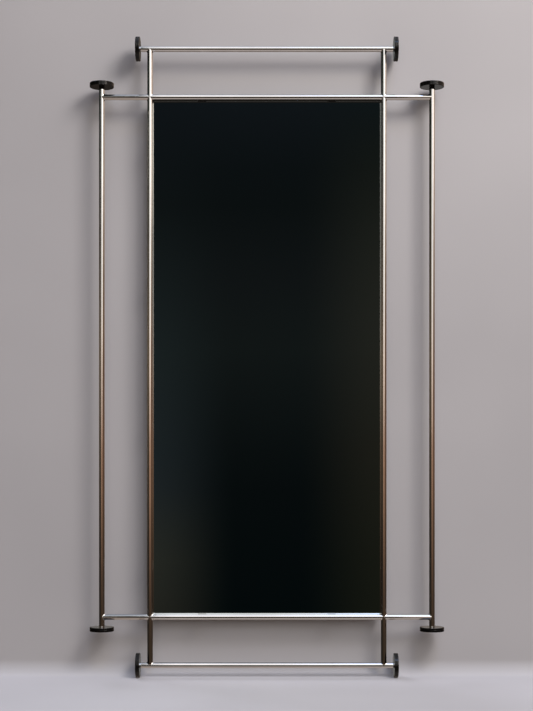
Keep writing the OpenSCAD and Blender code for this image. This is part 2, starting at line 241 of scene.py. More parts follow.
tree, shader, where = start_finish("silvered_glass", "silvered_float_glass", ior=1.52)
depth = add(tree, "ShaderNodeSeparateXYZ", [where]).outputs["Y"]
is_front = add(tree, MATH, [depth, glass_front + SKIN], operation="LESS_THAN")
is_back = add(tree, MATH, [depth, glass_back - SKIN], operation="GREATER_THAN")
edge_tone = add(tree, RAMP, [grain(tree, where, 30 * MM)],
                stops=zip(NOISE_SPAN, ("#3f6a5c", "#5b8577")))
paint_tone = add(tree, RAMP, [grain(tree, where, 4 * MM, detail=4.0)],
                 stops=zip(NOISE_SPAN, ("#565b60", "#62676b")))
rim_colour = add(tree, MIX, [is_back, edge_tone, paint_tone], data_type="RGBA")
colour = add(tree, MIX, [is_front, rim_colour, shade("#e3e8e6")], data_type="RGBA")
paint_grain = grain(tree, where, 1.5 * MM)
paint_roughness = add(tree, MATH, [paint_grain, PAINT_VARIES, PAINT_LEAST],
                      operation="MULTIPLY_ADD")
rim_roughness = add(tree, MIX, [is_back, EDGE_ROUGHNESS, paint_roughness])
wiped = grain(tree, where, 90 * MM, detail=4.0)
face_roughness = add(tree, MATH, [wiped, FACE_VARIES], operation="MULTIPLY")
roughness = add(tree, MIX, [is_front, rim_roughness, face_roughness])
link_to(tree, shader, {"Base Color": colour, "Metallic": is_front, "Roughness": roughness})
print("the glass is %.1f mm thick" % ((glass_back - glass_front) / MM))

# %% [markdown]
# ### Distance from a wheel's own axle
#
# What is turned on a lathe or moulded round carries rings about its axle. The eight axles lie
# in mirrored pairs, so folding a point with absolute values brings every wheel on to one of two
# places: the end of a level rail, or the end of a side rail. The distance from that axle then
# draws rings that are right for all eight wheels, even where they share one mesh.

# %% Rings about the axles
rail_end_split = (upright_x + side_x) / 2
level_axle_up = z_top - z_mid


def axle_distance(tree, where):
    """The distance of a point from the axle of the wheel that it belongs to."""
    point = add(tree, "ShaderNodeSeparateXYZ", [where])
    across = add(tree, MATH, [point.outputs["X"]], operation="ABSOLUTE")
    lifted = add(tree, MATH, [point.outputs["Z"], z_mid], operation="SUBTRACT")
    up = add(tree, MATH, [lifted], operation="ABSOLUTE")
    off_level = add(tree, MATH, [up, level_axle_up], operation="SUBTRACT")
    off_side = add(tree, MATH, [across, side_x], operation="SUBTRACT")
    on_side = add(tree, MATH, [across, rail_end_split], operation="GREATER_THAN")
    off = add(tree, MIX, [on_side, off_level, off_side])
    flat = add(tree, "ShaderNodeCombineXYZ", {"X": off, "Y": point.outputs["Y"]})
    return add(tree, VECTOR_MATH, [flat], operation="LENGTH").outputs["Value"]


def rings(tree, where, pitch):
    """Rings about the axle, one every pitch, from 0 to 1."""
    distance = axle_distance(tree, where)
    turns = add(tree, MATH, [distance, 2 * math.pi / pitch], operation="MULTIPLY")
    wave = add(tree, MATH, [turns], operation="SINE")
    return add(tree, MATH, [wave, 0.5, 0.5], operation="MULTIPLY_ADD")


print("level axles are %.0f mm from the middle" % (level_axle_up / MM))

# %% [markdown]
# ### Black plastic and rubber
#
# The discs are moulded in glossy black nylon: their flat faces show the room at a low angle,
# with a slight orange peel. The caps come from a spark-eroded mould and are satin. The tyres
# are hard black rubber from a polished mould, a little dulled where they roll, and the buffers
# between tube and glass are plain extruded rubber, dull and a little chalky.

# %% Glossy moulded nylon for the discs
tree, shader, where = start_finish("gloss_black", "gloss_moulded_nylon", ior=1.53)
flow_marks = grain(tree, where, 9 * MM, detail=4.0)
scuffs = grain(tree, where, 5 * MM, detail=6.0)
orange_peel = grain(tree, where, 2.5 * MM)
end_finish(tree, shader, tint=(flow_marks, "#08080a", "#0d0d0f"),
           dull=(scuffs, 0.06, 0.14), relief=(orange_peel, 0.012 * MM))

# %% Satin moulded nylon for the caps
tree, shader, where = start_finish("cap_black", "satin_moulded_nylon", ior=1.53)
flow_marks = grain(tree, where, 3 * MM, detail=3.0)
spark_texture = grain(tree, where, 0.25 * MM, detail=3.0)
end_finish(tree, shader, tint=(flow_marks, "#141415", "#1b1b1c"),
           dull=(spark_texture, 0.36, 0.5), relief=(spark_texture, 0.03 * MM))

# %% Tyre rubber
LINES_IN_SKIN = 0.35

tree, shader, where = start_finish("tyre_rubber", "rubbed_tyre_rubber", ior=1.52,
                                   specular_ior_level=0.35)
dust = grain(tree, where, 12 * MM, detail=6.0)
mould_lines = rings(tree, where, 0.8 * MM)
fine_grain = grain(tree, where, 0.4 * MM)
skin = add(tree, MIX, [LINES_IN_SKIN, fine_grain.outputs["Fac"], mould_lines])
end_finish(tree, shader, tint=(dust, "#09090a", "#121212"), dull=(dust, 0.09, 0.17),
           relief=(skin, 0.006 * MM), span=(0.35, 0.75))

# %% Buffer rubber
tree, shader, where = start_finish("buffer_rubber", "extruded_buffer_rubber", ior=1.52)
bloom = grain(tree, where, 6 * MM, detail=5.0)
die_lines = grain(tree, where, 0.6 * MM, stretch=(1, 1, 0.02))
end_finish(tree, shader, tint=(bloom, "#19191a", "#2b2b2c"), dull=(bloom, 0.6, 0.8),
           relief=(die_lines, 0.04 * MM), span=(0.35, 0.75))

# %% [markdown]
# ### Plain metals
#
# Brackets and plugs are cut steel. They were plated with the frame but never polished, so the
# rolled surface still shows as a satin grey. The screws are zinc plated, the spacers are turned
# from aluminium bar and keep the rings of the tool, and the bearings are ground hard steel.

# %% Satin plated steel
tree, shader, where = start_finish("plain_steel", "plated_rolled_steel", metallic=1.0)
rolled = grain(tree, where, 5 * MM, detail=6.0)
rolling_marks = grain(tree, where, 0.5 * MM, detail=4.0)
end_finish(tree, shader, tint=(rolled, "#a8a7a5", "#b4b3b1"),
           dull=(rolled, 0.27, 0.35), relief=(rolling_marks, 0.01 * MM))

# %% Zinc plated screws
tree, shader, where = start_finish("screw_steel", "zinc_plated_screw_steel", metallic=1.0)
passivation = grain(tree, where, 3 * MM, detail=3.0)
drawn_wire = grain(tree, where, 0.3 * MM)
end_finish(tree, shader, tint=(passivation, "#b7bbc4", "#c8c6bb"),
           dull=(passivation, 0.2, 0.34), relief=(drawn_wire, 0.008 * MM))

# %% Turned aluminium
TOOL_PITCH = 0.25 * MM

tree, shader, where = start_finish("spacer_alloy", "turned_aluminium", metallic=1.0)
oxide = grain(tree, where, 4 * MM)
tool_rings = rings(tree, where, TOOL_PITCH)
end_finish(tree, shader, tint=(oxide, "#cfd0d1", "#dedfe0"),
           dull=(tool_rings, 0.2, 0.3), relief=(tool_rings, 0.006 * MM))

# %% Ground bearing steel
GRINDING_PITCH = 0.12 * MM

tree, shader, where = start_finish("bearing_steel", "ground_bearing_steel", metallic=1.0)
oil_film = grain(tree, where, 2.5 * MM, detail=3.0)
grinding_rings = rings(tree, where, GRINDING_PITCH)
end_finish(tree, shader, tint=(oil_film, "#b4b2ac", "#c9c9c8"), dull=(oil_film, 0.12, 0.24),
           relief=(grinding_rings, 0.002 * MM), span=(0.35, 0.7))

# %% [markdown]
# ### Board and tape
#
# The backing board is fibreboard with a thin coat of black paint, through which the fibres
# still show. The tape is closed-cell foam, and its cut edges show the cells.

# %% Painted fibreboard
CLOUDS_IN_TONE = 0.5

tree, shader, where = start_finish("board", "painted_fibreboard", ior=1.5)
fibres = grain(tree, where, 1.2 * MM, detail=6.0, stretch=(1, 1, 0.35))
clouds = grain(tree, where, 60 * MM, detail=3.0)
mixed = add(tree, MIX, [CLOUDS_IN_TONE, fibres.outputs["Fac"], clouds.outputs["Fac"]])
end_finish(tree, shader, tint=(mixed, "#211e1b", "#322d28"), dull=(fibres, 0.5, 0.7),
           relief=(fibres, 0.05 * MM), span=(0.35, 0.65))

# %% Closed-cell foam
CELL = 0.5 * MM

tree, shader, where = start_finish("foam", "closed_cell_foam", ior=1.45)
cells = add(tree, "ShaderNodeTexVoronoi", {"Vector": where, "Scale": 1 / CELL})
end_finish(tree, shader, tint=(cells, "#242424", "#454545"), dull=(cells, 0.7, 0.9),
           relief=(cells, 0.08 * MM), span=(0.0, 0.8))

# %% [markdown]
# ## From a rule to a mesh
#
# A Geometry Nodes tree can hold the rule of a shape and leave its sizes open. Every such tree
# needs three steps here. The first opens it with its named sizes, the second ends it with a
# finish, and the third fills the sizes in, lets Blender evaluate the tree once, and keeps the
# result as a plain mesh that rides on the frame.

# %% Open and close a tree
KINDS = {float: "NodeSocketFloat", int: "NodeSocketInt", tuple: "NodeSocketVector"}


def open_tree(name, **sizes):
    """Opens a geometry tree with named sizes, and returns it with the sockets of the sizes."""
    tree = bpy.data.node_groups.new(name, "GeometryNodeTree")
    tree.interface.new_socket("Mesh", in_out="OUTPUT", socket_type="NodeSocketGeometry")
    for label, value in sizes.items():
        socket = tree.interface.new_socket(label, in_out="INPUT", socket_type=KINDS[type(value)])
        socket.default_value = value
    sockets = add(tree, "NodeGroupInput").outputs
    return tree, {label: sockets[label] for label in sizes}


def close_tree(tree, mesh, finish):
    """Ends a tree: its copies are made real and take their finish."""
    real = add(tree, "GeometryNodeRealizeInstances", [mesh])
    finished = add(tree, "GeometryNodeSetMaterial", {"Geometry": real, "Material": finish})
    add(tree, "NodeGroupOutput", [finished])


# %% Run a tree


def run_tree(name, tree, slot, stands_for=(), **sizes):
    """Runs a tree with these sizes and keeps the plain mesh as a piece of the frame."""
    blank = bpy.data.objects.new("blank", bpy.data.meshes.new("blank"))
    bpy.context.scene.collection.objects.link(blank)
    modifier = blank.modifiers.new("rule", "NODES")
    modifier.node_group = tree
    for item in tree.interface.items_tree:
        if item.in_out == "INPUT" and item.name in sizes:
            modifier[item.identifier] = sizes[item.name]
    evaluated = blank.evaluated_get(bpy.context.evaluated_depsgraph_get())
    mesh = bpy.data.meshes.new_from_object(evaluated)
    bpy.data.objects.remove(blank)
    mesh.name = name
    piece = bpy.data.objects.new(name, mesh)
    bpy.context.scene.collection.objects.link(piece)
    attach(piece, "frame")
    if stands_for:
        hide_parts(*stands_for)
    print(name, len(mesh.polygons), "faces")


# %% [markdown]
# ## Coped tubes
#
# A tube that ends against another is coped: its end is cut to the round of its neighbour, so
# that the weld is even all the way. The cut follows a rule. A point that lies y in front of the
# tube's centre line stops at a distance of sqrt(cope radius² - y²) from its neighbour's. So the
# tree starts from a flat grid, whose first direction runs along the outside, across the wall,
# back through the bore and across the other end, and whose second direction runs round the tube,
# and bends it into place. The grid's sides then meet and are merged, and only edges that turn by
# less than 30 degrees are shaded smooth. A cope radius of nothing leaves the end square.

# %% The coped tube tree: a flat grid
ROUND_STEPS = 96
WALL_CORNERS = 4
MIDDLE_CORNER = (WALL_CORNERS - 1) / 2

tree, sizes = open_tree("coped tube", length=1.0, outer_r=tube_r, bore_r=bore_r, cope_r=cope_r,
                        centre=(0.0, 0.0, 0.0), turn=0.0)
grid = add(tree, "GeometryNodeMeshGrid", {
    "Size X": WALL_CORNERS, "Size Y": 2 * math.pi,
    "Vertices X": WALL_CORNERS + 1, "Vertices Y": ROUND_STEPS + 1,
})
place = add(tree, "ShaderNodeSeparateXYZ", [add(tree, "GeometryNodeInputPosition")])
shifted = add(tree, MATH, [place.outputs["X"], WALL_CORNERS / 2], operation="ADD")
corner = add(tree, MATH, [shifted, WALL_CORNERS], operation="FLOORED_MODULO")
in_bore = add(tree, MATH, [corner, MIDDLE_CORNER], operation="GREATER_THAN")
radius = add(tree, MIX, [in_bore, sizes["outer_r"], sizes["bore_r"]])
far_end = add(tree, MATH, [corner, MIDDLE_CORNER, 1.0], operation="COMPARE")
end_sign = add(tree, MATH, [far_end, 2.0, -1.0], operation="MULTIPLY_ADD")
print("the grid is", WALL_CORNERS, "by", ROUND_STEPS, "faces")

# %% The coped tube tree: the grid bent to a tube
sine = add(tree, MATH, [place.outputs["Y"]], operation="SINE")
cosine = add(tree, MATH, [place.outputs["Y"]], operation="COSINE")
y = add(tree, MATH, [radius, sine], operation="MULTIPLY")
z = add(tree, MATH, [radius, cosine], operation="MULTIPLY")
y_squared = add(tree, MATH, [y, y], operation="MULTIPLY")
cope_squared = add(tree, MATH, [sizes["cope_r"], sizes["cope_r"]], operation="MULTIPLY")
left_over = add(tree, MATH, [cope_squared, y_squared], operation="SUBTRACT")
kept = add(tree, MATH, [left_over, 0.0], operation="MAXIMUM")
setback = add(tree, MATH, [kept], operation="SQRT")
half = add(tree, MATH, [sizes["length"], 0.5], operation="MULTIPLY")
reach = add(tree, MATH, [half, setback], operation="SUBTRACT")
x = add(tree, MATH, [reach, end_sign], operation="MULTIPLY")
bent = add(tree, "GeometryNodeSetPosition", {
    "Geometry": grid, "Position": add(tree, "ShaderNodeCombineXYZ", [x, y, z]),
})
print("the cope is %.1f mm deep" % ((cope_r - math.sqrt(cope_r ** 2 - tube_r ** 2)) / MM))

# %% The coped tube tree: closed, smoothed and placed
TUBE_MERGE = 0.001 * MM
EVEN_EDGE = math.radians(30)

closed = add(tree, "GeometryNodeMergeByDistance", {"Geometry": bent, "Distance": TUBE_MERGE})
edge_angle = add(tree, "GeometryNodeInputMeshEdgeAngle")
is_even = add(tree, "FunctionNodeCompare", [edge_angle, EVEN_EDGE], operation="LESS_THAN")
smooth = add(tree, "GeometryNodeSetShadeSmooth", {
    "Geometry": closed, "Shade Smooth": is_even}, domain="EDGE")
turn = add(tree, "ShaderNodeCombineXYZ", {"Y": sizes["turn"]})
placed = add(tree, "GeometryNodeTransform", {
    "Geometry": smooth, "Translation": sizes["centre"], "Rotation": turn})
close_tree(tree, placed, finishes["chrome"])
tube_tree = tree
print("the tube tree has", len(tree.nodes), "nodes")

# %% [markdown]
# Twelve tubes now come from the one tree. Uprights run from the bottom rail to the top rail,
# cross tubes lie between the uprights, and four stubs carry their line on to the side rails.
# The rails themselves are cut square, because a plug and a wheel close each end.

# %% Uprights, cross tubes, stubs and rails
LEVEL = 0.0
STANDING = math.pi / 2
SQUARE = 0.0
rail_z = {"top": z_top, "bottom": z_bottom}
cross_z = {"top": z_high, "bottom": z_low}
side_of = {"left": -1, "right": 1}


def make_tube(node, length, centre, turn, cope):
    """Makes one tube that stands for its CAD node."""
    run_tree("polished_" + node, tube_tree, "chrome", [node], length=length,
             outer_r=tube_r, bore_r=bore_r, cope_r=cope, centre=centre, turn=turn)


for side, sign in side_of.items():
    make_tube("upright_" + side, z_top - z_bottom,
              (sign * upright_x, 0, (z_top + z_bottom) / 2), STANDING, cope_r)
    make_tube("rail_" + side, size("rail_" + side).z,
              (sign * side_x, 0, z_mid), STANDING, SQUARE)
for level in ("top", "bottom"):
    make_tube("cross_tube_" + level, 2 * upright_x, (0, 0, cross_z[level]), LEVEL, cope_r)
    make_tube("rail_" + level, size("rail_" + level).x, (0, 0, rail_z[level]), LEVEL, SQUARE)
    for side, sign in side_of.items():
        make_tube("stub_%s_%s" % (level, side), side_x - upright_x,
                  (sign * (upright_x + side_x) / 2, 0, cross_z[level]), LEVEL, cope_r)

# %% [markdown]
# ## Polished welds
#
# The welds are ground and polished to an even hollow. A ball that rolls along the corner of two
# crossing tubes leaves just that shape under it: its centre keeps one distance from both centre
# lines, and at every place it touches both tubes. The grid's first direction runs across the
# hollow from tube to tube and back by the root, where the tubes meet, and its second direction
# runs from the back of the joint round to the front. At both ends the hollow closes to a point.

# %% The weld tree: the path of the ball
SEAM_STEPS = 60
ARC_STEPS = 12
ROOT_STEP = ARC_STEPS + 1
LAST_STEP = ROOT_STEP + 1

tree, sizes = open_tree("hollow weld", tube_r=tube_r, ball_r=WELD_RADIUS)
grid = add(tree, "GeometryNodeMeshGrid", {
    "Size X": LAST_STEP, "Size Y": math.pi,
    "Vertices X": LAST_STEP + 1, "Vertices Y": SEAM_STEPS + 1,
})
place = add(tree, "ShaderNodeSeparateXYZ", [add(tree, "GeometryNodeInputPosition")])
step = add(tree, MATH, [place.outputs["X"], LAST_STEP / 2], operation="ADD")
on_hollow = add(tree, "FunctionNodeCompare", [step, ARC_STEPS], operation="LESS_THAN")
marked = add(tree, "GeometryNodeStoreNamedAttribute", {
    "Geometry": grid, "Name": "hollow", "Value": on_hollow}, data_type="BOOLEAN", domain="FACE")
cosine = add(tree, MATH, [place.outputs["Y"]], operation="COSINE")
sine = add(tree, MATH, [place.outputs["Y"]], operation="SINE")
seam = add(tree, "ShaderNodeCombineXYZ", [cosine, sine, cosine])
path_r = add(tree, MATH, [sizes["tube_r"], sizes["ball_r"]], operation="ADD")
ball = add(tree, VECTOR_MATH, {"Vector": seam, "Scale": path_r}, operation="SCALE")
root = add(tree, VECTOR_MATH, {"Vector": seam, "Scale": sizes["tube_r"]}, operation="SCALE")
print("the ball rolls %.0f mm from both centre lines" % ((tube_r + WELD_RADIUS) / MM))

# %% The weld tree: the hollow under the ball
HALF_STEP = 0.5
WELD_MERGE = 0.0001 * MM

to_level = add(tree, VECTOR_MATH, [seam, (0, -1, -1)], operation="MULTIPLY")
to_upright = add(tree, VECTOR_MATH, [seam, (-1, -1, 0)], operation="MULTIPLY")
share = add(tree, MATH, [step, 1 / ARC_STEPS], operation="MULTIPLY", use_clamp=True)
not_last = add(tree, MATH, [step, ROOT_STEP + HALF_STEP], operation="LESS_THAN")
turned_over = add(tree, MATH, [share, not_last], operation="MULTIPLY")
chord = add(tree, MIX, [turned_over, to_level, to_upright], data_type="VECTOR")
inward = add(tree, VECTOR_MATH, [chord], operation="NORMALIZE")
hung = add(tree, VECTOR_MATH, {"Vector": inward, "Scale": sizes["ball_r"]}, operation="SCALE")
touch = add(tree, VECTOR_MATH, [ball, hung], operation="ADD")
is_root = add(tree, MATH, [step, ROOT_STEP, HALF_STEP], operation="COMPARE")
point = add(tree, MIX, [is_root, touch, root], data_type="VECTOR")
outward = add(tree, VECTOR_MATH, {"Vector": inward, "Scale": -1.0}, operation="SCALE")
noted = add(tree, "GeometryNodeStoreNamedAttribute", {
    "Geometry": marked, "Name": "outward", "Value": outward}, data_type="FLOAT_VECTOR")
bent = add(tree, "GeometryNodeSetPosition", {"Geometry": noted, "Position": point})
closed = add(tree, "GeometryNodeMergeByDistance", {"Geometry": bent, "Distance": WELD_MERGE})
facing_out = add(tree, "GeometryNodeFlipFaces", [closed])
print("one weld has", SEAM_STEPS * LAST_STEP, "faces")

# %% [markdown]
# One weld fills the corner between right and up. Every other corner is the same weld, turned in
# steps of a quarter about the line of sight. A crossing has four, a tee has two. So a small
# cloud of points, each with its quarter turns, carries a copy of the weld to all 32 corners.
# Shading would round off the thin edges where weld meets tube. The tree therefore writes the
# true direction of the surface, straight towards the rolling ball's centre, on the hollow, and
# the reflection flows from tube to weld without a line.

# %% A point for every corner
RIGHT_UP, RIGHT_DOWN, LEFT_DOWN, LEFT_UP = range(4)
ALL_ROUND = (RIGHT_UP, RIGHT_DOWN, LEFT_DOWN, LEFT_UP)

joints = []
for sign, inner in ((-1, (RIGHT_UP, RIGHT_DOWN)), (1, (LEFT_DOWN, LEFT_UP))):
    for level in (z_low, z_high):
        joints.append((sign * upright_x, level, ALL_ROUND))
        joints.append((sign * side_x, level, inner))
    joints.append((sign * upright_x, z_top, (RIGHT_DOWN, LEFT_DOWN)))
    joints.append((sign * upright_x, z_bottom, (RIGHT_UP, LEFT_UP)))

corners = [(x, z, quarter) for x, z, quarters in joints for quarter in quarters]
cloud = bpy.data.meshes.new("weld corners")
cloud.from_pydata([(x, 0, z) for x, z, _ in corners], [], [])
quarter_turns = cloud.attributes.new("quarters", "INT", "POINT")
quarter_turns.data.foreach_set("value", [quarter for _, _, quarter in corners])
corner_cloud = bpy.data.objects.new("weld_corners", cloud)
print(len(corners), "corners are welded")

# %% The weld tree: to every corner
points = add(tree, "GeometryNodeObjectInfo", {"Object": corner_cloud}).outputs["Geometry"]
turned = add(tree, "GeometryNodeInputNamedAttribute", {"Name": "quarters"}, data_type="INT")
angle = add(tree, MATH, [turned, math.pi / 2], operation="MULTIPLY")
rotation = add(tree, "ShaderNodeCombineXYZ", {"Y": angle})
copies = add(tree, "GeometryNodeInstanceOnPoints", {
    "Points": points, "Instance": facing_out, "Rotation": rotation})
real = add(tree, "GeometryNodeRealizeInstances", [copies])
stored = add(tree, "GeometryNodeInputNamedAttribute", {"Name": "outward"},
             data_type="FLOAT_VECTOR")
facing = add(tree, "ShaderNodeVectorRotate", {"Vector": stored, "Angle": angle},
             rotation_type="Y_AXIS")
of_face = add(tree, "GeometryNodeFieldOnDomain", [add(tree, "GeometryNodeInputNormal")],
              data_type="FLOAT_VECTOR", domain="FACE")
hollow = add(tree, "GeometryNodeInputNamedAttribute", {"Name": "hollow"}, data_type="BOOLEAN")
true_normal = add(tree, "GeometryNodeSwitch", [hollow, of_face, facing], input_type="VECTOR")
shaded = add(tree, "GeometryNodeSetMeshNormal", [real, true_normal],
             mode="FREE", domain="CORNER")
close_tree(tree, shaded, finishes["chrome"])
run_tree("polished_welds", tree, "chrome", ["weld_fillets"],
         tube_r=tube_r, ball_r=WELD_RADIUS)

# %% [markdown]
# ## Bracket welds
#
# The twelve brackets behind the board are welded to the backs of the tubes, where nobody looks,
# so these beads are left as they were laid: a row of overlapping drops, each a little different.
# A line of points along each bracket carries the drops, and a fixed seed gives them their
# differences.

# %% A place for every drop
BRACKET_INSET = 150 * MM
BRACKET_WIDTH = 24 * MM
UPRIGHT_BRACKETS = 4
CROSS_BRACKETS = 2
DROP_PITCH = 1.5 * MM
DROP_R = 1.6 * MM
BEAD_OUT = 3.6 * MM
BEAD_BACK = 7.6 * MM
DROPS = int(BRACKET_WIDTH / DROP_PITCH)
STANDING_BEAD = 0.0
LYING_BEAD = 1.0


def spread(count, half):
    """Places from -half to half, evenly apart."""
    return [-half + 2 * half * i / (count - 1) for i in range(count)]


drops = []
for along in [DROP_PITCH * (i + 0.5) - BRACKET_WIDTH / 2 for i in range(DROPS)]:
    for sign in side_of.values():
        for z in spread(UPRIGHT_BRACKETS, cross_pitch / 2 - BRACKET_INSET):
            beside = sign * (upright_x + BEAD_OUT)
            drops.append((beside, BEAD_BACK, z_mid + z + along, STANDING_BEAD))
    for x in spread(CROSS_BRACKETS, upright_x - BRACKET_INSET):
        drops.append((x + along, BEAD_BACK, z_high + BEAD_OUT, LYING_BEAD))
        drops.append((x + along, BEAD_BACK, z_low - BEAD_OUT, LYING_BEAD))
cloud = bpy.data.meshes.new("weld drops")
cloud.from_pydata([drop[:3] for drop in drops], [], [])
lying = cloud.attributes.new("lying", "FLOAT", "POINT")
lying.data.foreach_set("value", [drop[3] for drop in drops])
drop_cloud = bpy.data.objects.new("weld_drops", cloud)
print(len(drops), "drops on", len(drops) // DROPS, "brackets")

# %% The bead tree
LEAST_DROP = (0.85, 0.85, 0.6)
LARGEST_DROP = (1.1, 1.05, 0.75)
DROP_DETAIL = 3
BEAD_SEED = 7

tree, sizes = open_tree("weld bead", drop_r=DROP_R, seed=BEAD_SEED)
drop = add(tree, "GeometryNodeMeshIcoSphere", {
    "Radius": sizes["drop_r"], "Subdivisions": DROP_DETAIL})
rounded = add(tree, "GeometryNodeSetShadeSmooth", {"Geometry": drop, "Shade Smooth": True})
points = add(tree, "GeometryNodeObjectInfo", {"Object": drop_cloud}).outputs["Geometry"]
drop_size = add(tree, "FunctionNodeRandomValue", [LEAST_DROP, LARGEST_DROP],
                data_type="FLOAT_VECTOR")
tree.links.new(sizes["seed"], drop_size.inputs["Seed"])
is_lying = add(tree, "GeometryNodeInputNamedAttribute", {"Name": "lying"}, data_type="FLOAT")
lean = add(tree, MATH, [is_lying, math.pi / 2], operation="MULTIPLY")
rotation = add(tree, "ShaderNodeCombineXYZ", {"Y": lean})
copies = add(tree, "GeometryNodeInstanceOnPoints", {
    "Points": points, "Instance": rounded, "Rotation": rotation, "Scale": drop_size})
close_tree(tree, copies, finishes["plain_steel"])
run_tree("bracket_weld_beads", tree, "plain_steel", drop_r=DROP_R, seed=BEAD_SEED)

# %% [markdown]
# ## Finishes on the CAD pieces
#
# Every other piece is shown as the CAD made it, because its solid already has the shape that
# the eye sees. Its plain material has the name of its slot, perhaps with a number behind a dot,
# and gives way to the finish that is filed under that name.

# %% Give every CAD node its finish
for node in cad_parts.values():
    for holder in node.material_slots:
        holder.material = finishes[holder.material.name.split(".")[0]]
print(len(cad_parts), "nodes have their finish")

# %% [markdown]
# ## The studio
#
# The backdrop is one pale colour in three sheets. The wall stands close behind the mirror, turns
# forward in a small hollow that stays clear of the wheels, and is see-through from behind, so
# that it never hides the object. A floor runs on each side of it. The sheets are there for the
# camera alone: they take shadows, but throw no light on the object and don't show in its
# reflections. What the chrome and the glass show is a room of their own, which comes next.

# %% Wall and floor
WALL_BEHIND = 50 * MM
HOLLOW_R = 45 * MM
HOLLOW_STEPS = 24
FLOOR_DROP = 0.5 * MM
STAGE_HALF = 9.0
WALL_TOP = 7.0


def make_sheet(name, profile):
    """A sheet for the camera alone, as wide as the stage, along a profile of (y, z) places."""
    points = [(x, y, z) for x in (-STAGE_HALF, STAGE_HALF) for y, z in profile]
    count = len(profile)
    faces = [(i, i + count, i + count + 1, i + 1) for i in range(count - 1)]
    mesh = bpy.data.meshes.new(name)
    mesh.from_pydata(points, [], faces)
    mesh.polygons.foreach_set("use_smooth", [True] * len(faces))
    sheet = bpy.data.objects.new(name, mesh)
    bpy.context.scene.collection.objects.link(sheet)
    sheet.visible_shadow = False
    sheet.visible_diffuse = False
    sheet.visible_glossy = False
    print(name, "faces", [round(value, 2) for value in mesh.polygons[0].normal])
    return sheet


hollow_turns = [math.pi / 2 * i / HOLLOW_STEPS for i in range(HOLLOW_STEPS + 1)]
hollow_profile = [(WALL_BEHIND - HOLLOW_R + HOLLOW_R * math.sin(turn),
                   HOLLOW_R - HOLLOW_R * math.cos(turn)) for turn in hollow_turns]
wall = make_sheet("wall", hollow_profile + [(WALL_BEHIND, WALL_TOP)])
front_floor = make_sheet("front_floor", [(-STAGE_HALF, 0.0), hollow_profile[0]])
back_floor = make_sheet("back_floor", [(hollow_profile[0][0], -FLOOR_DROP),
                                       (STAGE_HALF, -FLOOR_DROP)])

# %% Pale paint that is see-through from behind
PAINT_CLOUD = 0.6

tree, shader, where = start_finish("backdrop", "pale_backdrop", specular_ior_level=0.2,
                                   roughness=0.9)
tone = add(tree, RAMP, [grain(tree, where, PAINT_CLOUD)],
           stops=zip(NOISE_SPAN, ("#bcbcc1", "#c3c3c8")))
link_to(tree, shader, {"Base Color": tone})
clear = add(tree, "ShaderNodeBsdfTransparent")
behind = add(tree, "ShaderNodeNewGeometry").outputs["Backfacing"]
seen = add(tree, "ShaderNodeMixShader", [behind, shader, clear])
link_to(tree, tree.nodes["Material Output"], {"Surface": seen})
for sheet in (wall, front_floor, back_floor):
    sheet.data.materials.append(finishes["backdrop"])
print("the backdrop has", len(tree.nodes), "nodes")

# %% [markdown]
# ## What the chrome sees
#
# Polished tube has no look of its own: it shows the room. The room here is a sky of light that
# is worked out from a direction alone. Level tubes sweep it from the wall behind, over the top,
# to the floor, and upright tubes sweep it from side to side. So it has a bright cream side
# around the camera that turns brown towards the floor, a cooler light overhead, a dark left
# side, a brown right side, and a dark doorway straight behind the camera, which is what the
# mirror shows. A narrow dark curtain left of the doorway shows only in the stubs on the left.
# The camera itself sees a plain pale ground.
#
# Across and forward say how far a direction points to the right and to the camera's side, from
# -1 to 1. The sweep is an angle that starts level on the camera's side and grows upwards, over
# the top, and the rise is the height above the horizon. Both are brought to 0 to 1, to drive
# colour ramps.

# %% Directions in the room
EYE = Vector((0.0, -4.15, 0.648))

world = bpy.data.worlds.new("studio")
bpy.context.scene.world = world
world.use_nodes = True
tree = world.node_tree
tree.nodes.clear()
heading = add(tree, "ShaderNodeTexCoord").outputs["Generated"]
axes = add(tree, "ShaderNodeSeparateXYZ", [heading])
across = axes.outputs["X"]
forward = add(tree, MATH, [axes.outputs["Y"], -1.0], operation="MULTIPLY")
sweep = add(tree, MATH, [axes.outputs["Z"], forward], operation="ARCTAN2")
swept = add(tree, MATH, [sweep, 1 / (2 * math.pi), 0.5], operation="MULTIPLY_ADD")
rise = add(tree, MATH, [axes.outputs["Z"]], operation="ARCSINE")
risen = add(tree, MATH, [rise, 1 / math.pi, 0.5], operation="MULTIPLY_ADD")
print("the camera stands %.2f m in front of the mirror" % -EYE.y)

# %% Colours along the sweep and the rise


def sweep_stops(*stops):
    """Ramp stops from angles swept upwards from the camera's side, in degrees."""
    return [(0.5 + angle / 360, code) for angle, code in stops]


def rise_stops(*stops):
    """Ramp stops from heights above the horizon, in degrees."""
    return [(0.5 + angle / 180, code) for angle, code in stops]


# %% The bright side, the dark left and the brown right
LEFT_TO_RIGHT = (0.0, 0.3)

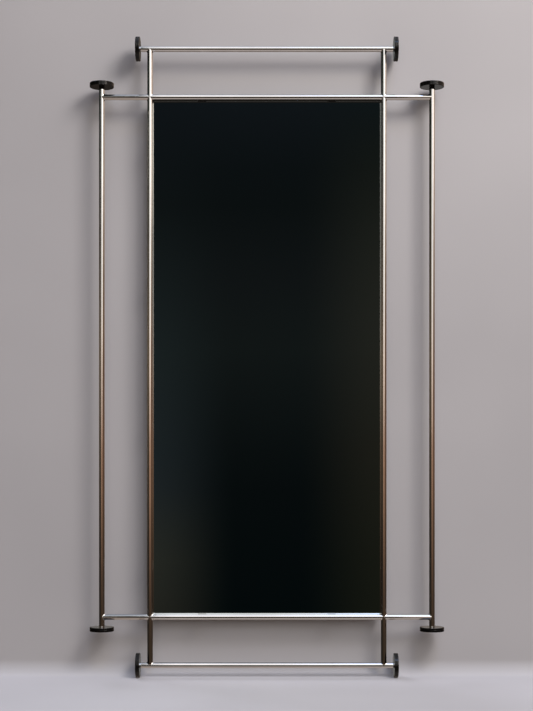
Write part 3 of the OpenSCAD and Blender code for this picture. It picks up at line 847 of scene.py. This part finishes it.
bright_side = add(tree, RAMP, [swept], stops=sweep_stops(
    (-180, "#6a6461"), (-100, "#857d79"), (-77, "#b2a7a2"), (-62, "#aea29b"), (-50, "#786d67"),
    (-38, "#4f4640"), (-20, "#40362f"), (-9, "#33291f"), (-6, "#48382b"), (-3.5, "#82634f"),
    (0, "#b48e75"), (3.5, "#f5ddcb"), (7, "#fef5ec"), (14, "#fffbf7"), (45, "#fff8f3"),
    (60, "#e8eaf4"), (84, "#e2e0ea"), (110, "#d0d4e2"), (130, "#b0aeb4"), (180, "#8d8a8e")))
left_side = add(tree, RAMP, [risen], stops=rise_stops(
    (-90, "#a19388"), (-30, "#6b605a"), (-10, "#241f1a"), (-4, "#251f1a"), (0, "#3a3127"),
    (4, "#54483a"), (8, "#3b342b"), (13, "#20231e"), (30, "#383b39"), (60, "#74777d"),
    (90, "#c3c9d8")))
right_side = add(tree, RAMP, [risen], stops=rise_stops(
    (-90, "#a19388"), (-30, "#6d625b"), (-10, "#30271f"), (-5, "#3b2f27"), (-3, "#49372a"),
    (0, "#5f4637"), (4, "#634b3d"), (7, "#76604f"), (10, "#9a8473"), (13, "#a89485"),
    (30, "#b9a69b"), (60, "#bdb9bb"), (90, "#c3c9d8")))
to_right = add(tree, MAP_RANGE, [across, *LEFT_TO_RIGHT], interpolation_type="SMOOTHSTEP")
sides = add(tree, MIX, [to_right, left_side, right_side], data_type="RGBA")
print("the bright side has", len(bright_side.color_ramp.elements), "stops")

# %% [markdown]
# The bright side has an edge on either hand. The left one steps inwards some way above level,
# and the right one leans outwards up to a height of its own. Both are soft, and so is the way
# round to the back.

# %% How far the bright side reaches
LEFT_EDGE = (-0.4, -0.1)
LEFT_STEP = (math.radians(15), math.radians(19))
LEFT_SOFT = 0.04
RIGHT_EDGE = (0.42, 0.82)
RIGHT_LEAN = (0.0, math.radians(11))
RIGHT_SOFT = 0.06
ROUND_BACK = (-0.6, 0.0)

left_edge = add(tree, MAP_RANGE, [sweep, *LEFT_STEP, *LEFT_EDGE])
past_left = add(tree, MATH, [across, left_edge], operation="SUBTRACT")
from_left = add(tree, MAP_RANGE, [past_left, -LEFT_SOFT, LEFT_SOFT],
                interpolation_type="SMOOTHSTEP")
right_edge = add(tree, MAP_RANGE, [rise, *RIGHT_LEAN, *RIGHT_EDGE])
past_right = add(tree, MATH, [across, right_edge], operation="SUBTRACT")
till_right = add(tree, MAP_RANGE, [past_right, RIGHT_SOFT, -RIGHT_SOFT],
                 interpolation_type="SMOOTHSTEP")
ahead = add(tree, MAP_RANGE, [forward, *ROUND_BACK], interpolation_type="SMOOTHSTEP")
between = add(tree, MATH, [from_left, till_right], operation="MULTIPLY")
in_bright = add(tree, MATH, [between, ahead], operation="MULTIPLY")
print("its left edge steps in from %.0f degrees up" % math.degrees(LEFT_STEP[0]))

# %% The curtain on the left
CURTAIN_EDGE = 0.002
THROUGH_CURTAIN = 0.1
curtain = (upright_x + side_x) / 2 / -EYE.y
curtain_half = (side_x - upright_x) / 2 / -EYE.y

off_curtain = add(tree, MATH, [across, curtain], operation="ADD")
from_curtain = add(tree, MATH, [off_curtain], operation="ABSOLUTE")
beside_curtain = add(tree, MAP_RANGE, [
    from_curtain, curtain_half, curtain_half + CURTAIN_EDGE, THROUGH_CURTAIN, 1.0])
let_in = add(tree, MATH, [in_bright, beside_curtain], operation="MULTIPLY")
room = add(tree, MIX, [let_in, sides, bright_side], data_type="RGBA")
print("the curtain is %.1f degrees wide" % math.degrees(2 * curtain_half))

# %% The dark doorway behind the camera
DOOR_HALF = 0.088
DOOR_EDGE = 0.012
DOOR_SILL = math.radians(-8.5)
DOOR_HEAD = math.radians(15.5)
DOOR_SOFT = math.radians(1.2)

off_centre = add(tree, MATH, [across], operation="ABSOLUTE")
in_width = add(tree, MAP_RANGE, [off_centre, DOOR_HALF + DOOR_EDGE, DOOR_HALF])
above_sill = add(tree, MAP_RANGE, [sweep, DOOR_SILL, DOOR_SILL + DOOR_SOFT])
below_head = add(tree, MAP_RANGE, [sweep, DOOR_HEAD, DOOR_HEAD - DOOR_SOFT])
in_height = add(tree, MATH, [above_sill, below_head], operation="MULTIPLY")
in_door = add(tree, MATH, [in_width, in_height], operation="MULTIPLY")
print("the doorway is %.0f degrees high" % math.degrees(DOOR_HEAD - DOOR_SILL))

# %% What the doorway shows
DOOR_MIDDLE = 0.02

door_middle = add(tree, RAMP, [swept], stops=sweep_stops(
    (-7, "#04090a"), (-1, "#080c0d"), (4.5, "#131717"), (7, "#111415"), (10.5, "#0b0f10"),
    (14.5, "#12161a")))
door_left = add(tree, RAMP, [swept], stops=sweep_stops(
    (-7, "#23221e"), (-4, "#272824"), (-1, "#1d2225"), (4, "#1b2122"), (10, "#0f1314"),
    (14, "#101418")))
door_right = add(tree, RAMP, [swept], stops=sweep_stops(
    (-5, "#171812"), (0, "#1e1d18"), (5, "#23231f"), (8, "#1f201c"), (12, "#131614"),
    (14, "#101618")))
on_right = add(tree, MATH, [across, 0.0], operation="GREATER_THAN")
door_side = add(tree, MIX, [on_right, door_left, door_right], data_type="RGBA")
near_side = add(tree, MAP_RANGE, [off_centre, DOOR_MIDDLE, DOOR_HALF],
                interpolation_type="SMOOTHSTEP")
door = add(tree, MIX, [near_side, door_middle, door_side], data_type="RGBA")
print("with the doorway, the room has", len(tree.nodes), "nodes")

# %% [markdown]
# Two small strong lights complete the room: a lamp low on the right, and a roof window. They
# are what sparkles on the black treads, where everything else is too dim to show.

# %% A lamp and a roof window in the room
SPOT_SOFT = 0.4


def bright_spot(centre, radius, strength, code):
    """A round light about a direction, with a soft edge. Its radius is in degrees."""
    close = add(tree, VECTOR_MATH, [heading, centre], operation="DOT_PRODUCT")
    outer = math.cos(math.radians((1 + SPOT_SOFT) * radius))
    inner = math.cos(math.radians((1 - SPOT_SOFT) * radius))
    inside = add(tree, MAP_RANGE, [
        close.outputs["Value"], outer, inner, 0.0, strength])
    return add(tree, "ShaderNodeBackground", {"Color": shade(code), "Strength": inside})


def towards(turn, lift):
    """The direction so many degrees to the right of the camera's side, and above level."""
    turn, lift = math.radians(turn), math.radians(lift)
    return (math.sin(turn) * math.cos(lift), -math.cos(turn) * math.cos(lift), math.sin(lift))


low_lamp = towards(turn=45, lift=14)
roof_window = towards(turn=13, lift=57)
sparkle = add(tree, "ShaderNodeAddShader", [
    bright_spot(low_lamp, radius=4.0, strength=3.6, code="#ffe9d6"),
    bright_spot(roof_window, radius=5.0, strength=6.0, code="#8fb4f2")])
for direction in (low_lamp, roof_window):
    print("a small light at", [round(value, 2) for value in direction])

# %% [markdown]
# The flat face of a black wheel is seen almost edge on. It turns the line of sight only a little
# aside, and shows the one small part of the room where that line goes on. A soft pale patch lies
# there for the wheels on the right and at the bottom, and sets their faces off from their
# treads. The faces of the two at the upper left stay dark. An upright face swaps left and right
# in that line, and a level one swaps up and down.

# %% Pale patches for the faces of six wheels
PATCH_RADIUS = 2.5
PATCH_LIGHT = 0.22
UPRIGHT_FACE = Vector((-1, 1, 1))
LEVEL_FACE = Vector((1, 1, -1))
lit_faces = {
    "top_right": UPRIGHT_FACE, "bottom_right": UPRIGHT_FACE, "bottom_left": UPRIGHT_FACE,
    "right_upper": LEVEL_FACE, "right_lower": LEVEL_FACE, "left_lower": LEVEL_FACE,
}

for wheel, turned in lit_faces.items():
    goes_on = (middle("wheel_disc_" + wheel) - EYE).normalized() * turned
    patch = bright_spot(goes_on, PATCH_RADIUS, PATCH_LIGHT, "#ffffff")
    sparkle = add(tree, "ShaderNodeAddShader", [sparkle, patch])
    print(wheel, "shows the room at", [round(value, 2) for value in goes_on])

# %% [markdown]
# The mirror stands in front of the wall, so the floor at its foot lies in the shade, and the
# wall beside it holds back some of the light from the upper right. Only the backs of the tubes
# look that way, and only the mirror shows those backs: such light has been reflected more than
# once before it meets the room. Blender counts the room itself as one step more, so that is
# every ray at a depth of three or over.

# %% The shade behind the mirror
FROM_THIRD_STEP = 2.5
FLOOR_SHADE = (math.radians(-8), math.radians(-16))
WALL_SHADE_UP = (0.0, math.radians(7))
WALL_SHADE_RIGHT = (0.15, 0.6)
WALL_HOLDS_BACK = 0.68

light_path = add(tree, "ShaderNodeLightPath")
twice_turned = add(tree, MATH, [light_path.outputs["Ray Depth"], FROM_THIRD_STEP],
                   operation="GREATER_THAN")
by_mirror = add(tree, MATH, [twice_turned, light_path.outputs["Is Glossy Ray"]],
                operation="MULTIPLY")
looking_down = add(tree, MAP_RANGE, [sweep, *FLOOR_SHADE])
looking_up = add(tree, MAP_RANGE, [rise, *WALL_SHADE_UP])
looking_right = add(tree, MAP_RANGE, [across, *WALL_SHADE_RIGHT, 0.0, WALL_HOLDS_BACK])
upper_right = add(tree, MATH, [looking_up, looking_right], operation="MULTIPLY")
held_back = add(tree, MATH, [looking_down, upper_right], operation="MAXIMUM")
in_shade = add(tree, MATH, [by_mirror, held_back], operation="MULTIPLY")
print("the wall holds back up to %.0f%%" % (100 * WALL_HOLDS_BACK))

# %% The room's light, and the plain ground that the camera sees
ROOM_LIGHT = 1.35
DOOR_LIGHT = 1.15
GROUND_LIGHT = 0.62
SHADE_LEFT = 0.08

room_light = add(tree, MAP_RANGE, [in_shade, 0.0, 1.0, ROOM_LIGHT, SHADE_LEFT * ROOM_LIGHT])
lit_room = add(tree, "ShaderNodeBackground", {"Color": room, "Strength": room_light})
dark_door = add(tree, "ShaderNodeBackground", {"Color": door, "Strength": DOOR_LIGHT})
plain_room = add(tree, "ShaderNodeMixShader", [in_door, lit_room, dark_door])
seen_room = add(tree, "ShaderNodeAddShader", [plain_room, sparkle])
plain = add(tree, "ShaderNodeBackground", {"Color": shade("#dcd6d3"), "Strength": GROUND_LIGHT})
by_camera = light_path.outputs["Is Camera Ray"]
shown = add(tree, "ShaderNodeMixShader", [by_camera, seen_room, plain])
add(tree, "ShaderNodeOutputWorld", {"Surface": shown})
print("the room has", len(tree.nodes), "nodes")

# %% [markdown]
# ## Lamps
#
# One large soft lamp stands to the right of the camera and above it. It gives the soft shadows
# that fall to the lower left on the wall. A weaker lamp behind gives the back of the mirror its
# form. It only lights: it stays out of the reflections, where the chrome would show it in front.

# %% Key lamp and back lamp


def soft_lamp(name, place, target, width, power, code):
    """A square lamp that faces a target."""
    data = bpy.data.lights.new(name, "AREA")
    data.size = width
    data.energy = power
    data.color = shade(code)[:3]
    lamp = bpy.data.objects.new(name, data)
    bpy.context.scene.collection.objects.link(lamp)
    lamp.location = place
    away = lamp.location - target
    lamp.rotation_mode = "QUATERNION"
    lamp.rotation_quaternion = away.to_track_quat("Z", "Y")
    return lamp


KEY_PLACE = (1.95, -2.35, 3.7)
BACK_PLACE = (-1.6, 2.6, 2.6)
heart = (middle("rail_left") + middle("rail_right")) / 2

key_lamp = soft_lamp("key_lamp", KEY_PLACE, heart, width=1.5, power=85, code="#fff6ee")
back_lamp = soft_lamp("back_lamp", BACK_PLACE, heart, width=1.6, power=45, code="#f6f4ff")
back_lamp.visible_glossy = False
for lamp in (key_lamp, back_lamp):
    print(lamp.name, "is %.1f m from the mirror" % (lamp.location - heart).length)

# %% [markdown]
# ## Camera
#
# The photograph shows upright tubes as truly upright, so the camera looks level, and its lens
# is shifted up to take in the whole mirror, and a hair to the left. The picture is 711 pixels
# high, and a length of 1430 pixels per radian puts the camera 4.15 m away, 0.65 m up.

# %% Camera
PICTURE_HEIGHT = 711
FOCAL_PIXELS = 1430
SENSOR = 36
SHIFT_LEFT = 0.4
SHIFT_UP = 98.5

camera_data = bpy.data.cameras.new("camera")
camera_data.sensor_width = SENSOR
camera_data.lens = FOCAL_PIXELS / PICTURE_HEIGHT * SENSOR
camera_data.shift_x = -SHIFT_LEFT / PICTURE_HEIGHT
camera_data.shift_y = SHIFT_UP / PICTURE_HEIGHT
camera = bpy.data.objects.new("camera", camera_data)
bpy.context.scene.collection.objects.link(camera)
camera.location = EYE
camera.rotation_euler = (math.pi / 2, 0, 0)
bpy.context.scene.camera = camera
bpy.context.scene.view_settings.view_transform = "Standard"
print("lens %.1f mm" % camera_data.lens)
